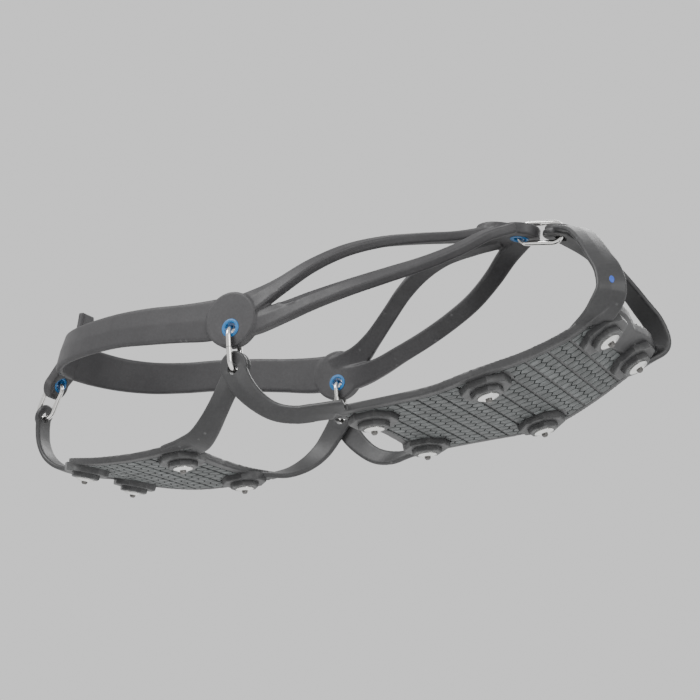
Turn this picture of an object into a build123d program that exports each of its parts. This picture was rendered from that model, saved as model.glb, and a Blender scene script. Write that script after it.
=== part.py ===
from build123d import *
import os
from math import asin, cos, degrees, sin

# Slip-on traction device for one shoe, in its worn shape.  Millimetres, +Z up, toe towards +X.
# The origin is at the middle of the bounding box, on the ground under the stud tips.
# Stations (x, y, z) in this file count x from the side eyelets, forward positive.

# ---- driving dimensions ----
SIDE_X = -10.58          # where the side eyelets lie in the part's frame
TIP_REACH = 7.0          # stud tip below the plate's under-surface
PLATE = 3.0              # thickness of both sole plates
ARM = 2.2                # thickness of the plates' arms
LAYER_GAP = 0.2          # air between two arms that share an eyelet

TOE_ROCKER_X = 75.0      # the forefoot plate is flat behind this station
TOE_ROCKER_R = 140.0     # and curves up in front of it
HEEL_ROCKER_X = -50.0    # the heel plate is flat in front of this station
HEEL_ROCKER_R = 160.0    # and curves up behind it

BAND = 3.2               # thickness of the harness heel band
YOKE = 4.0               # thickness of the yoke arms
BOSS = 4.8               # thickness of the harness round its eyelets

WIRE = 2.2               # ring wire diameter
RING_INSIDE = 6.2        # clear width inside a ring
RING_OVERRUN = 0.5       # wire centre past the eyelet centre at each end
RING_SEAM = 0.25         # gap between the butted wire ends

EYELET_R = 2.4           # clear radius of every eyelet
GROMMET_R = 3.4          # outer radius of the harness bushes
GROMMET_GAP = 0.05       # air round a bush
ARM_END_R = 6.1          # rounded ends of the plates' arms
ARM_END_SHIFT = 1.4      # arm end's centre past its eyelet
HEEL_END_R = 5.2         # the same for the heel's slimmer rear arm
HEEL_END_SHIFT = 0.5

STUD_SHANK_R = 3.2
STUD_FLANGE_R = 5.5
STUD_FLANGE = 1.0
STUD_DISC_R = 4.0
STUD_NOSE_R = 2.1
TIP_R = 1.3
TIP_FLAT_R = 0.8
TIP_SEAT = 3.5           # depth of the tip's seat, from the plate's inner face
BOSS_TIERS = ((9.4, 2.5), (5.9, 2.0))    # across-flats half width and height of each octagonal tier

# ---- eyelet centres (stations) ----
SIDE_HARNESS = (0.0, 47.3, 48.2)
SIDE_ARMS = (0.0, 47.3, 31.2)
TOE_HARNESS = (108.1, 0.0, 78.5)
TOE_ARMS = (125.1, 0.0, 74.6)
HEEL_HARNESS = (-122.7, 0.0, 62.1)
HEEL_ARM = (-130.6, 0.0, 47.4)

# ---- studs: station and distance from the centre line ----
FOREFOOT_STUDS = {"ball": (48.2, 26.2), "mid": (98.4, 32.1), "toe": (144.1, 19.7)}
HEEL_STUDS = {"heel_front": (-40.0, 25.2), "heel_rear": (-95.1, 18.2)}


def place(x, y, z):
    """A station as a point in the part's frame."""
    return Vector(x + SIDE_X, y, z)


def unit(v):
    return Vector(*v).normalized()


def strap(stations, thickness, side=1):
    """Loft a moulded strap through stations (x, y, z, outward normal, width)."""
    points = [place(x, side * y, z) for x, y, z, _, _ in stations]
    last = len(points) - 1
    sections = []
    for i, (_, _, _, normal, width) in enumerate(stations):
        along = (points[min(i + 1, last)] - points[max(i - 1, 0)]).normalized()
        outward = Vector(normal[0], side * normal[1], normal[2])
        across = along.cross(outward).normalized()
        with BuildSketch(Plane(origin=points[i], x_dir=across, z_dir=along)) as section:
            Rectangle(width, thickness)
        sections.append(section.sketch)
    loft(sections=sections, ruled=True)


def disc(centre, normal, radius, thickness, mode=Mode.ADD):
    """A round pad or hole through a strap, centred on its mid-thickness."""
    with BuildSketch(Plane(origin=centre, z_dir=normal)) as outline:
        Circle(radius)
    extrude(outline.sketch, amount=thickness / 2, both=True, mode=mode)


def rocker_face(low_x, flat_x, high_x, radius, inset):
    """Face between a plate's under-surface and its top, seen from the side."""
    toe = high_x > flat_x
    sweep_angle = degrees(asin(abs(high_x - flat_x) / radius))
    middle = (flat_x + SIDE_X, TIP_REACH + radius)
    ends = []
    with BuildSketch(Plane.XZ) as face:
        with BuildLine():
            for r in (radius, radius - inset):
                arc = CenterArc(middle, r, -90, sweep_angle if toe else -sweep_angle)
                ends.append((arc @ 0, arc @ 1))
                Line((low_x + SIDE_X, TIP_REACH + radius - r), arc @ 0)
            Line((low_x + SIDE_X, TIP_REACH), (low_x + SIDE_X, TIP_REACH + inset))
            Line(ends[0][1], ends[1][1])
        make_face()
    return face.sketch


def stud_plane(x, y):
    """Plane on a plate's under-surface at a stud, its Z pointing out of the sole, and its far tip."""
    reach = TIP_REACH
    if x > TOE_ROCKER_X:
        angle = asin((x - TOE_ROCKER_X) / (TOE_ROCKER_R + reach))
        centre_x, radius = TOE_ROCKER_X, TOE_ROCKER_R
    elif x < HEEL_ROCKER_X:
        angle = asin((x - HEEL_ROCKER_X) / (HEEL_ROCKER_R + reach))
        centre_x, radius = HEEL_ROCKER_X, HEEL_ROCKER_R
    else:
        angle, centre_x, radius = 0.0, x, 0.0
    down = Vector(sin(angle), 0, -cos(angle))
    axis_top = place(centre_x, y, reach + radius)
    return Plane(origin=axis_top + down * radius, x_dir=(0, 1, 0), z_dir=down)


def stud_profile(face_plane):
    """Radial section of a stud: flange in the plate, shank, disc and nose with the tip's seat."""
    end = PLATE + sum(height for _, height in BOSS_TIERS)
    axis_plane = Plane(
        origin=face_plane.origin - face_plane.z_dir * PLATE,
        x_dir=face_plane.x_dir,
        z_dir=face_plane.x_dir.cross(face_plane.z_dir),
    )
    with BuildSketch(axis_plane) as profile:
        with BuildLine():
            Polyline(
                (0, 0),
                (STUD_FLANGE_R, 0),
                (STUD_FLANGE_R, STUD_FLANGE),
                (STUD_SHANK_R, STUD_FLANGE),
                (STUD_SHANK_R, end),
                (STUD_DISC_R, end),
                (STUD_DISC_R, end + 0.5),
                (STUD_NOSE_R, end + 1.3),
                (TIP_R, end + 1.3),
                (TIP_R, TIP_SEAT),
                (0, TIP_SEAT),
                close=True,
            )
        make_face()
    return profile.sketch


def tip_profile(face_plane):
    """Radial section of a carbide tip: pin with a blunt cone."""
    axis_plane = Plane(
        origin=face_plane.origin - face_plane.z_dir * PLATE,
        x_dir=face_plane.x_dir,
        z_dir=face_plane.x_dir.cross(face_plane.z_dir),
    )
    end = PLATE + TIP_REACH
    with BuildSketch(axis_plane) as profile:
        with BuildLine():
            Polyline(
                (0, TIP_SEAT),
                (TIP_R, TIP_SEAT),
                (TIP_R, end - 0.6),
                (TIP_FLAT_R, end),
                (0, end),
                close=True,
            )
        make_face()
    return profile.sketch


def axis_of(face_plane):
    return Axis(face_plane.origin, face_plane.z_dir)


def stud_bosses(face_planes):
    """Two-tier octagonal bosses under a plate."""
    for face_plane in face_planes:
        level = 0.0
        for half_width, height in BOSS_TIERS:
            sunk = 1.0 if level == 0 else 0.0
            with BuildSketch(face_plane.offset(level - sunk)) as octagon:
                RegularPolygon(half_width, 8, major_radius=False, rotation=22.5)
            extrude(octagon.sketch, amount=height + sunk, taper=6)
            level += height


def stud_seats(face_planes):
    """Room in a plate for the studs: flange counterbore and shank hole."""
    for face_plane in face_planes:
        inner = face_plane.offset(-PLATE)
        depth = PLATE + sum(height for _, height in BOSS_TIERS) + 1
        with BuildSketch(inner) as flange:
            Circle(STUD_FLANGE_R)
        extrude(flange.sketch, amount=STUD_FLANGE, mode=Mode.SUBTRACT)
        extrude(flange.sketch, amount=-3, mode=Mode.SUBTRACT)
        with BuildSketch(inner) as shank:
            Circle(STUD_SHANK_R)
        extrude(shank.sketch, amount=depth, mode=Mode.SUBTRACT)


def both_sides(studs):
    """Stud planes of a plate, keyed by name and side; left is +Y."""
    planes = {}
    for name, (x, y) in studs.items():
        planes[name + "_left"] = stud_plane(x, y)
        planes[name + "_right"] = stud_plane(x, -y)
    return planes


forefoot_planes = both_sides(FOREFOOT_STUDS)
heel_planes = both_sides(HEEL_STUDS)

toe_link = (place(*TOE_ARMS) - place(*TOE_HARNESS)).normalized()
heel_link = (place(*HEEL_ARM) - place(*HEEL_HARNESS)).normalized()
TOE_OUT = Vector(-toe_link.Z, 0, toe_link.X)       # outward normal of the straps at the toe ring
HEEL_OUT = Vector(heel_link.Z, 0, -heel_link.X)    # and at the heel ring

layer = (ARM + LAYER_GAP) / 2                      # mid-thickness of each of two stacked arms

# ---- forefoot plate ----
SIDE_OUT = (0, 1, 0)
# rear side arm, from the plate's edge up to the side ring; it is the outer of the two arms there
REAR_ARM = (
    (44, 41.0, 8.4, (0, 0.2, -1), 12),
    (33, 43.5, 8.4, (0.05, 0.45, -0.85), 9),
    (24.6, 45.0, 8.6, (0.1, 0.75, -0.6), 7.5),
    (16, 46.5, 11.2, (0.1, 0.95, -0.3), 7.5),
    (8.5, 47.8, 17.2, (0, 1, -0.1), 8.5),
    (3.0, 48.5, 24.5, SIDE_OUT, 10),
    (0.0, 48.5, 31.2, SIDE_OUT, 11),
)
# toe arm, from the plate's front corner over the toe to the toe ring
TOE_ARM = (
    (134, 27.0, 21.4, (0.38, 0.1, -0.92), 13),
    (144.5, 32.6, 26.0, (0.5, 0.5, -0.7), 13),
    (149.8, 35.4, 32.0, (0.5, 0.85, -0.1), 11.5),
    (149.4, 33.8, 40.0, (0.5, 0.82, 0.2), 10.6),
    (145.8, 29.5, 48.4, (0.5, 0.72, 0.45), 10.2),
    (140.8, 21.8, 58.4, (0.45, 0.5, 0.72), 10),
    (134.6, 11.6, 67.6, (0.35, 0.25, 0.9), 10.5),
    (125.1, 0.0, 74.6, (0.224, 0, 0.975), 11.5),
)

with BuildPart() as forefoot_plate:
    side_view = rocker_face(30, TOE_ROCKER_X, 160, TOE_ROCKER_R, PLATE)
    extrude(side_view, amount=60, both=True)
    with BuildSketch(Plane.XY) as forefoot_outline:
        with BuildLine():
            Spline(place(41, 0, 0), place(39.5, 22, 0), place(36, 41.5, 0))
            Spline(
                place(36, 41.5, 0),
                place(55, 41, 0),
                place(76, 41.5, 0),
                place(98, 45, 0),
                place(119, 39, 0),
                place(134, 35.2, 0),
                place(148, 34.5, 0),
            )
            Spline(place(148, 34.5, 0), place(150, 17, 0), place(148.5, 0, 0))
            mirror(about=Plane.XZ)
        make_face()
    extrude(forefoot_outline.sketch, amount=60, mode=Mode.INTERSECT)
    for side in (1, -1):
        strap(REAR_ARM, ARM, side)
        disc(place(0, side * (SIDE_ARMS[1] + layer), SIDE_ARMS[2] + ARM_END_SHIFT), (0, 1, 0), ARM_END_R, ARM)
    # the right toe arm lies over the left one
    for side in (1, -1):
        lift = TOE_OUT * (-side * layer)
        lifted = [
            (x + lift.X, y, z + lift.Z, normal, width) for x, y, z, normal, width in TOE_ARM
        ]
        strap(lifted, ARM, side)
        end = place(*TOE_ARMS) + lift + unit((-0.75, -side * 0.65, 0.18)) * ARM_END_SHIFT
        disc(end, TOE_OUT, ARM_END_R, ARM)
    stud_bosses(forefoot_planes.values())
    stud_seats(forefoot_planes.values())
    disc(place(*TOE_ARMS), TOE_OUT, EYELET_R, 4 * ARM, Mode.SUBTRACT)
    for side in (1, -1):
        disc(place(0, side * SIDE_ARMS[1], SIDE_ARMS[2]), (0, 1, 0), EYELET_R, 4 * ARM, Mode.SUBTRACT)

# ---- heel plate ----
# front side arm, the inner of the two arms at the side ring
FRONT_ARM = (
    (-40, 30.0, 8.5, (0, 0.1, -1), 16),
    (-31, 34.0, 8.5, (0.05, 0.3, -0.95), 13),
    (-24, 37.6, 9.0, (0.1, 0.6, -0.8), 11),
    (-17, 41.6, 12.2, (0.1, 0.85, -0.5), 10),
    (-10.4, 44.8, 17.8, (0, 0.97, -0.2), 9.6),
    (-5, 46.0, 24.6, SIDE_OUT, 10),
    (0.0, 46.1, 31.2, SIDE_OUT, 11),
)
# rear arm, up behind the heel to the heel ring
HEEL_REAR_ARM = (
    (-94, 0, 14.6, (-0.25, 0, -0.97), 28),
    (-106, 0, 16.6, (-0.25, 0, -0.97), 22),
    (-115, 0, 18.9, (-0.35, 0, -0.94), 15),
    (-122.2, 0, 22.4, (-0.6, 0, -0.8), 11.5),
    (-127.6, 0, 27.4, (-0.82, 0, -0.57), 9.5),
    (-130.6, 0, 34.0, (-0.99, 0, -0.1), 9),
    (-131.2, 0, 41.0, (-1, 0, 0), 9),
    (-130.6, 0, 47.4, (-0.881, 0, 0.473), 9.5),
)

with BuildPart() as heel_plate:
    side_view = rocker_face(-25, HEEL_ROCKER_X, -115, HEEL_ROCKER_R, PLATE)
    extrude(side_view, amount=60, both=True)
    with BuildSketch(Plane.XY) as heel_outline:
        with BuildLine():
            Spline(place(-35, 0, 0), place(-33.5, 20, 0), place(-29, 36.5, 0))
            Spline(
                place(-29, 36.5, 0),
                place(-48, 36, 0),
                place(-75, 33.5, 0),
                place(-95, 26, 0),
                place(-106, 13, 0),
                place(-108.5, 0, 0),
            )
            mirror(about=Plane.XZ)
        make_face()
    extrude(heel_outline.sketch, amount=60, mode=Mode.INTERSECT)
    strap(HEEL_REAR_ARM, ARM)
    disc(place(*HEEL_ARM) - heel_link * HEEL_END_SHIFT, HEEL_OUT, HEEL_END_R, ARM)
    for side in (1, -1):
        strap(FRONT_ARM, ARM, side)
        disc(place(0, side * (SIDE_ARMS[1] - layer), SIDE_ARMS[2] + ARM_END_SHIFT), (0, 1, 0), ARM_END_R, ARM)
    stud_bosses(heel_planes.values())
    stud_seats(heel_planes.values())
    disc(place(*HEEL_ARM), HEEL_OUT, EYELET_R, 4 * ARM, Mode.SUBTRACT)
    for side in (1, -1):
        disc(place(0, side * SIDE_ARMS[1], SIDE_ARMS[2]), (0, 1, 0), EYELET_R, 4 * ARM, Mode.SUBTRACT)

# ---- harness: one elastomer moulding ----
# heel band, from the side node round the heel to the centre line
HEEL_BAND = (
    (4, 47.3, 53.5, (0, 1, 0), 17),
    (-12, 46.6, 54.6, (-0.05, 1, 0), 17),
    (-26, 45.2, 57.0, (-0.1, 1, 0), 16),
    (-42, 43.2, 60.0, (-0.13, 1, 0), 15.8),
    (-60, 40.4, 62.8, (-0.18, 1, 0.05), 15),
    (-77, 36.6, 64.2, (-0.32, 0.94, 0.1), 14.8),
    (-91, 30.6, 65.6, (-0.52, 0.83, 0.2), 15.2),
    (-102, 21.6, 67.4, (-0.74, 0.6, 0.3), 15.8),
    (-109, 11.0, 69.2, (-0.86, 0.32, 0.4), 16.6),
    (-111.6, 0.0, 70.0, (-0.88, 0, 0.47), 17),
)
HEEL_TAIL = (
    (-110.0, 0, 74.0, (-0.88, 0, 0.47), 18),
    (-114.0, 0, 69.6, (-0.75, 0, 0.66), 15.5),
    (-118.6, 0, 66.0, (-0.75, 0, 0.66), 13),
    (-122.7, 0, 62.1, (-0.881, 0, 0.473), 12),
)
PULL_TAB = (
    (-111.6, 0, 70.0, (-0.88, 0, 0.47), 13),
    (-108.6, 0, 78.5, (-0.93, 0, 0.36), 10.5),
    (-106.4, 0, 86.0, (-0.96, 0, 0.25), 9.5),
    (-105.2, 0, 92.5, (-0.98, 0, 0.15), 9),
)
UPPER_ARM = (
    (-2, 47.0, 55.0, (0, 1, 0.05), 12),
    (11, 46.0, 58.6, (0, 0.95, 0.3), 10.5),
    (20, 42.6, 63.6, (0, 0.85, 0.5), 8.2),
    (31, 37.4, 70.8, (0.05, 0.72, 0.7), 7.4),
    (43, 29.6, 77.1, (0.05, 0.58, 0.8), 7.2),
    (56, 20.8, 80.6, (0.05, 0.4, 0.9), 7.2),
    (70, 12.8, 81.4, (0.08, 0.25, 0.96), 7.0),
    (84, 7.8, 80.4, (0.12, 0.12, 0.98), 7.0),
    (98, 5.5, 79.6, (0.2, 0, 0.98), 7.5),
)
LOWER_ARM = (
    (-2, 47.2, 50.0, (0, 1, 0), 12),
    (11, 46.4, 49.6, (0, 1, 0.1), 10.5),
    (21, 45.2, 51.0, (0, 0.97, 0.25), 9),
    (33, 42.8, 54.0, (0.03, 0.9, 0.4), 8.2),
    (47, 39.2, 57.2, (0.06, 0.82, 0.55), 7.8),
    (62, 33.6, 60.8, (0.1, 0.74, 0.66), 7.6),
    (76, 26.8, 64.8, (0.14, 0.62, 0.77), 7.6),
    (88, 19.4, 70.0, (0.2, 0.45, 0.87), 7.8),
    (98, 12.6, 75.6, (0.22, 0.25, 0.94), 8.5),
    (107, 6.0, 78.4, (0.22, 0.05, 0.97), 9),
)
SIDE_BOSS_R = 11.5
SIDE_BOSS_LIFT = 3.8
FRONT_BOSS_R = 8.2

with BuildPart() as harness:
    for side in (1, -1):
        strap(HEEL_BAND, BAND, side)
        strap(UPPER_ARM, YOKE, side)
        strap(LOWER_ARM, YOKE, side)
        disc(
            place(0, side * SIDE_HARNESS[1], SIDE_HARNESS[2] + SIDE_BOSS_LIFT),
            (0, 1, 0),
            SIDE_BOSS_R,
            BOSS,
        )
    strap(PULL_TAB, BAND)
    strap(HEEL_TAIL, BOSS)
    disc(place(*HEEL_HARNESS) + heel_link * ARM_END_SHIFT, HEEL_OUT, ARM_END_R, BOSS)
    disc(place(*TOE_HARNESS), TOE_OUT, FRONT_BOSS_R, BOSS)
    disc(place(*TOE_HARNESS) - toe_link * 9, TOE_OUT, FRONT_BOSS_R + 1.4, BOSS)
    eyelet = GROMMET_R + GROMMET_GAP
    disc(place(*TOE_HARNESS), TOE_OUT, eyelet, 3 * BOSS, Mode.SUBTRACT)
    disc(place(*HEEL_HARNESS), HEEL_OUT, eyelet, 3 * BOSS, Mode.SUBTRACT)
    for side in (1, -1):
        disc(place(0, side * SIDE_HARNESS[1], SIDE_HARNESS[2]), (0, 1, 0), eyelet, 3 * BOSS, Mode.SUBTRACT)


def grommet(centre, normal):
    """Hard bush that lines a harness eyelet."""
    with BuildPart() as bush:
        disc(centre, normal, GROMMET_R, BOSS)
        disc(centre, normal, EYELET_R, 2 * BOSS, Mode.SUBTRACT)
    return bush


def ring(first, second, outward):
    """Bent wire link round the line between two eyelets; its ends butt on the outer leg."""
    link = (second - first).normalized()
    long_side = (second - first).length + 2 * RING_OVERRUN
    half = (RING_INSIDE + WIRE) / 2
    ring_plane = Plane(origin=(first + second) / 2, x_dir=link, z_dir=link.cross(outward))
    with BuildPart() as wire:
        with BuildLine(ring_plane) as centre_line:
            straight = long_side / 2 - half
            Line((-straight, half), (straight, half))
            ThreePointArc((straight, half), (straight + half, 0), (straight, -half))
            Line((straight, -half), (-straight, -half))
            ThreePointArc((-straight, -half), (-straight - half, 0), (-straight, half))
        with BuildSketch(Plane(origin=centre_line.line @ 0, z_dir=centre_line.line % 0)) as section:
            Circle(WIRE / 2)
        sweep(section.sketch, path=centre_line.line)
        seam = Plane(origin=ring_plane.origin + outward * half, x_dir=outward, z_dir=link)
        with BuildSketch(seam) as cut:
            Circle(WIRE)
        extrude(cut.sketch, amount=RING_SEAM / 2, both=True, mode=Mode.SUBTRACT)
    return wire


RINGS = {
    "toe_ring": (place(*TOE_HARNESS), place(*TOE_ARMS), TOE_OUT),
    "heel_ring": (place(*HEEL_HARNESS), place(*HEEL_ARM), HEEL_OUT),
}
GROMMETS = {
    "toe_grommet": (place(*TOE_HARNESS), TOE_OUT),
    "heel_grommet": (place(*HEEL_HARNESS), HEEL_OUT),
}
for side_name, side in (("left", 1), ("right", -1)):
    upper = place(0, side * SIDE_HARNESS[1], SIDE_HARNESS[2])
    lower = place(0, side * SIDE_ARMS[1], SIDE_ARMS[2])
    RINGS[side_name + "_ring"] = (upper, lower, Vector(0, side, 0))
    GROMMETS[side_name + "_grommet"] = (upper, Vector(0, side, 0))

pieces = {
    "forefoot_plate": forefoot_plate,
    "heel_plate": heel_plate,
    "harness": harness,
}
for name, (first, second, outward) in RINGS.items():
    pieces[name] = ring(first, second, outward)
for name, (centre, normal) in GROMMETS.items():
    pieces[name] = grommet(centre, normal)

for name, face_plane in {**forefoot_planes, **heel_planes}.items():
    with BuildPart() as stud:
        revolve(stud_profile(face_plane), axis=axis_of(face_plane))
    pieces["stud_" + name] = stud
    with BuildPart() as tip:
        revolve(tip_profile(face_plane), axis=axis_of(face_plane))
    pieces["tip_" + name] = tip

os.makedirs("parts", exist_ok=True)
for name, piece in pieces.items():
    piece.part.label = name
    export_step(piece.part, "parts/" + name + ".step")
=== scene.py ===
from math import asin, cos, pi, radians, sin

import bmesh
import bpy
import numpy as np
from mathutils import Matrix, Vector


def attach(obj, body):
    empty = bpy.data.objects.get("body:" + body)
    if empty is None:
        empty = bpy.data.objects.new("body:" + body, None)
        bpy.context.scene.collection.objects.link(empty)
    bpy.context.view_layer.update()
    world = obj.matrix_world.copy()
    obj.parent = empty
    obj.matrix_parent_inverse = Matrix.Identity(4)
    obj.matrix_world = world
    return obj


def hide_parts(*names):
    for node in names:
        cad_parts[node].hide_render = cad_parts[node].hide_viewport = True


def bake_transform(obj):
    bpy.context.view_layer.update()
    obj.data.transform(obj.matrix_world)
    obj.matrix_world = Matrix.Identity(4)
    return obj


# Slip-on traction device in its worn shape.  Lengths below are in millimetres; meshes are made in metres.
# Stations count x from the side eyelets, forward positive, as the CAD source does.

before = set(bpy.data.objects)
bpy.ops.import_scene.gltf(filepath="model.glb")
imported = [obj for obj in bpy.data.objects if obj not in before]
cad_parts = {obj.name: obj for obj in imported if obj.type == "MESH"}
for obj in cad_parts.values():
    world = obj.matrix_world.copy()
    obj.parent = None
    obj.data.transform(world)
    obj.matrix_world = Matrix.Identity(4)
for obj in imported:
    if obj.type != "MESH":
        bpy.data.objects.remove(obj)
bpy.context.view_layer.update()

MM = 0.001
SIDE_X = -10.58
TIP_REACH = 7.0
PLATE = 3.0
ARM = 2.2
LAYER = 1.2              # mid-thickness of each of two stacked arms
TOE_ROCKER = (75.0, 140.0)
HEEL_ROCKER = (-50.0, 160.0)
BAND = 3.2
YOKE = 4.0
BOSS = 4.8
EYELET_R = 2.4
GROMMET_R = 3.4
GROMMET_GAP = 0.05       # air round a bush
SIDE_BOSS_R = 11.5       # harness round a side eyelet
SIDE_BOSS_LIFT = 3.8     # and how far its centre lies above the eyelet
TAIL_BOSS_R = 6.1
FRONT_BOSS_R = 8.2
FRONT_NECK_R = 9.6       # where the yoke arms run into the front boss
FRONT_NECK_BACK = 9      # behind the toe eyelet
ARM_END_R = 6.1          # rounded ends of the plates' arms
ARM_END_SHIFT = 1.4      # an arm end's centre past its eyelet
HEEL_END_R = 5.2         # the same for the heel's slimmer rear arm
HEEL_END_SHIFT = 0.5
BOSS_TIERS = ((9.4, -0.9, 2.5), (5.9, 2.4, 4.5))     # half across flats, from, to
SHANK_BORE_R = 3.22
FLANGE_BORE_R = 5.52
TREAD_BOSS_GAP_R = 10.9  # tread pads stay outside this radius round a stud

SIDE_HARNESS = (0.0, 47.3, 48.2)
SIDE_ARMS = (0.0, 47.3, 31.2)
TOE_HARNESS = (108.1, 0.0, 78.5)
TOE_ARMS = (125.1, 0.0, 74.6)
HEEL_HARNESS = (-122.7, 0.0, 62.1)
HEEL_ARM = (-130.6, 0.0, 47.4)
FOREFOOT_STUDS = ((48.2, 26.2), (98.4, 32.1), (144.1, 19.7))
HEEL_STUDS = ((-40.0, 25.2), (-95.1, 18.2))

REAR_ARM = (
    (44, 41.0, 8.4, (0, 0.2, -1), 12),
    (33, 43.5, 8.4, (0.05, 0.45, -0.85), 9),
    (24.6, 45.0, 8.6, (0.1, 0.75, -0.6), 7.5),
    (16, 46.5, 11.2, (0.1, 0.95, -0.3), 7.5),
    (8.5, 47.8, 17.2, (0, 1, -0.1), 8.5),
    (3.0, 48.5, 24.5, (0, 1, 0), 10),
    (0.0, 48.5, 31.2, (0, 1, 0), 11),
)
TOE_ARM = (
    (134, 27.0, 21.4, (0.38, 0.1, -0.92), 13),
    (144.5, 32.6, 26.0, (0.5, 0.5, -0.7), 13),
    (149.8, 35.4, 32.0, (0.5, 0.85, -0.1), 11.5),
    (149.4, 33.8, 40.0, (0.5, 0.82, 0.2), 10.6),
    (145.8, 29.5, 48.4, (0.5, 0.72, 0.45), 10.2),
    (140.8, 21.8, 58.4, (0.45, 0.5, 0.72), 10),
    (134.6, 11.6, 67.6, (0.35, 0.25, 0.9), 10.5),
    (125.1, 0.0, 74.6, (0.224, 0, 0.975), 11.5),
)
FRONT_ARM = (
    (-40, 30.0, 8.5, (0, 0.1, -1), 16),
    (-31, 34.0, 8.5, (0.05, 0.3, -0.95), 13),
    (-24, 37.6, 9.0, (0.1, 0.6, -0.8), 11),
    (-17, 41.6, 12.2, (0.1, 0.85, -0.5), 10),
    (-10.4, 44.8, 17.8, (0, 0.97, -0.2), 9.6),
    (-5, 46.0, 24.6, (0, 1, 0), 10),
    (0.0, 46.1, 31.2, (0, 1, 0), 11),
)
HEEL_REAR_ARM = (
    (-94, 0, 14.6, (-0.25, 0, -0.97), 28),
    (-106, 0, 16.6, (-0.25, 0, -0.97), 22),
    (-115, 0, 18.9, (-0.35, 0, -0.94), 15),
    (-122.2, 0, 22.4, (-0.6, 0, -0.8), 11.5),
    (-127.6, 0, 27.4, (-0.82, 0, -0.57), 9.5),
    (-130.6, 0, 34.0, (-0.99, 0, -0.1), 9),
    (-131.2, 0, 41.0, (-1, 0, 0), 9),
    (-130.6, 0, 47.4, (-0.881, 0, 0.473), 9.5),
)
HEEL_BAND = (
    (4, 47.3, 53.5, (0, 1, 0), 17),
    (-12, 46.6, 54.6, (-0.05, 1, 0), 17),
    (-26, 45.2, 57.0, (-0.1, 1, 0), 16),
    (-42, 43.2, 60.0, (-0.13, 1, 0), 15.8),
    (-60, 40.4, 62.8, (-0.18, 1, 0.05), 15),
    (-77, 36.6, 64.2, (-0.32, 0.94, 0.1), 14.8),
    (-91, 30.6, 65.6, (-0.52, 0.83, 0.2), 15.2),
    (-102, 21.6, 67.4, (-0.74, 0.6, 0.3), 15.8),
    (-109, 11.0, 69.2, (-0.86, 0.32, 0.4), 16.6),
    (-111.6, 0.0, 70.0, (-0.88, 0, 0.47), 17),
)
HEEL_TAIL = (
    (-110.0, 0, 74.0, (-0.88, 0, 0.47), 18),
    (-114.0, 0, 69.6, (-0.75, 0, 0.66), 15.5),
    (-118.6, 0, 66.0, (-0.75, 0, 0.66), 13),
    (-122.7, 0, 62.1, (-0.881, 0, 0.473), 12),
)
PULL_TAB = (
    (-111.6, 0, 70.0, (-0.88, 0, 0.47), 13),
    (-108.6, 0, 78.5, (-0.93, 0, 0.36), 10.5),
    (-106.4, 0, 86.0, (-0.96, 0, 0.25), 9.5),
    (-105.2, 0, 92.0, (-0.98, 0, 0.15), 9),
)
UPPER_ARM = (
    (-2, 47.0, 55.0, (0, 1, 0.05), 12),
    (11, 46.0, 58.6, (0, 0.95, 0.3), 10.5),
    (20, 42.6, 63.6, (0, 0.85, 0.5), 8.2),
    (31, 37.4, 70.8, (0.05, 0.72, 0.7), 7.4),
    (43, 29.6, 77.1, (0.05, 0.58, 0.8), 7.2),
    (56, 20.8, 80.6, (0.05, 0.4, 0.9), 7.2),
    (70, 12.8, 81.4, (0.08, 0.25, 0.96), 7.0),
    (84, 7.8, 80.4, (0.12, 0.12, 0.98), 7.0),
    (98, 5.5, 79.6, (0.2, 0, 0.98), 7.5),
)
LOWER_ARM = (
    (-2, 47.2, 50.0, (0, 1, 0), 12),
    (11, 46.4, 49.6, (0, 1, 0.1), 10.5),
    (21, 45.2, 51.0, (0, 0.97, 0.25), 9),
    (33, 42.8, 54.0, (0.03, 0.9, 0.4), 8.2),
    (47, 39.2, 57.2, (0.06, 0.82, 0.55), 7.8),
    (62, 33.6, 60.8, (0.1, 0.74, 0.66), 7.6),
    (76, 26.8, 64.8, (0.14, 0.62, 0.77), 7.6),
    (88, 19.4, 70.0, (0.2, 0.45, 0.87), 7.8),
    (98, 12.6, 75.6, (0.22, 0.25, 0.94), 8.5),
    (107, 6.0, 78.4, (0.22, 0.05, 0.97), 9),
)


def place(x, y, z):
    return np.array([x + SIDE_X, y, z], float)


def unit(v):
    v = np.array(v, float)
    return v / np.linalg.norm(v, axis=-1, keepdims=True)


toe_link = unit(place(*TOE_ARMS) - place(*TOE_HARNESS))
heel_link = unit(place(*HEEL_ARM) - place(*HEEL_HARNESS))
TOE_OUT = np.array([-toe_link[2], 0, toe_link[0]])
HEEL_OUT = np.array([heel_link[2], 0, -heel_link[0]])


# ---------------------------------------------------------------- mesh tools
def new_object(name, verts, faces):
    """A mesh object from vertices in millimetres."""
    mesh = bpy.data.meshes.new(name)
    mesh.from_pydata((np.asarray(verts, float) * MM).tolist(), [], faces)
    bm = bmesh.new()
    bm.from_mesh(mesh)
    bmesh.ops.remove_doubles(bm, verts=bm.verts, dist=1e-7)
    bmesh.ops.recalc_face_normals(bm, faces=bm.faces)
    bm.to_mesh(mesh)
    bm.free()
    made = bpy.data.objects.new(name, mesh)
    bpy.context.scene.collection.objects.link(made)
    return made


def apply_modifiers(obj):
    graph = bpy.context.evaluated_depsgraph_get()
    graph.update()
    mesh = bpy.data.meshes.new_from_object(obj.evaluated_get(graph))
    old = obj.data
    obj.modifiers.clear()
    obj.data = mesh
    bpy.data.meshes.remove(old)


def modify(obj, kind, **settings):
    made = obj.modifiers.new(kind, kind)
    for key, value in settings.items():
        setattr(made, key, value)
    apply_modifiers(obj)


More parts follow.
